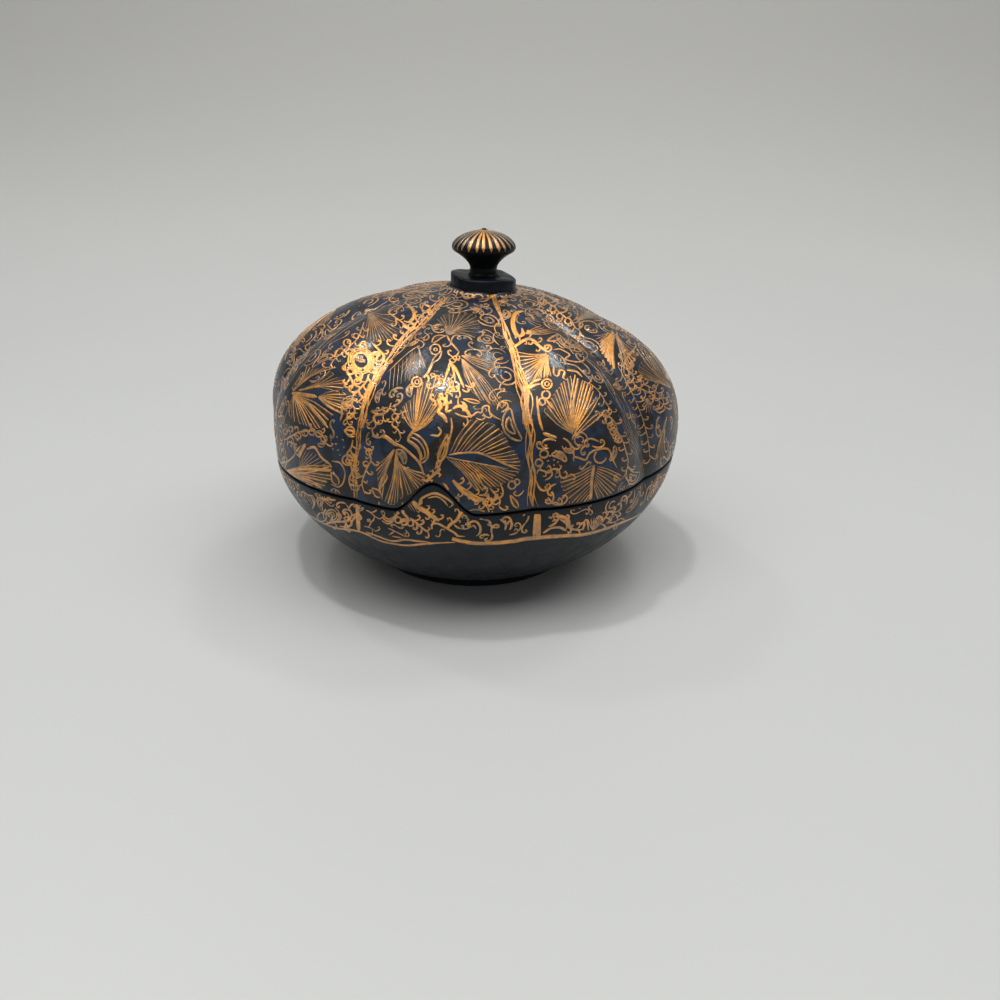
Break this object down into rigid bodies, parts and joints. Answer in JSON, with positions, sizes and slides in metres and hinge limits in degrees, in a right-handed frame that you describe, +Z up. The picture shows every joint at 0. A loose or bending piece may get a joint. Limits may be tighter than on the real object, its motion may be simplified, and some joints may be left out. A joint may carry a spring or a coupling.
{
  "type": "lidded papier-mache keepsake box",
  "caption": "Round lobed box with a lift-off domed lid, a wavy keyed seam, a low foot ring and a small turned knob, for keepsakes and trinkets.",
  "frame": {"origin": "centre of the foot ring, on the face that the box stands on", "axes": "+Z up through the knob; -Y is the front, where the seam's tongue is; the part is close to rotationally symmetric about Z"},
  "size_m": [0.1155, 0.1157, 0.0929],
  "materials": {
    "bowl_lacquer": "dark slate lacquer, semi-gloss",
    "inside_lacquer": "plain black lacquer, satin",
    "lid_lacquer": "midnight lacquer with gold leaf-fan and scroll painting, gloss",
    "disc_lacquer": "thick black lacquer, gloss",
    "knob_wood": "black lacquered turned wood with gold rays",
    "gilding": "metallic gold paint strokes"
  },
  "bodies": {
    "bowl_body": {"bowl": "bowl_lacquer", "locating_collar": "inside_lacquer"},
    "lid_body": {"lid": "lid_lacquer", "crown_disc": "disc_lacquer", "knob": "knob_wood"}
  },
  "joints": [
    {"name": "lid_lift", "type": "slide", "parent": "bowl_body", "child": "lid_body", "axis": [0, 0, 1], "range_m": [0, 0.07]}
  ]
}
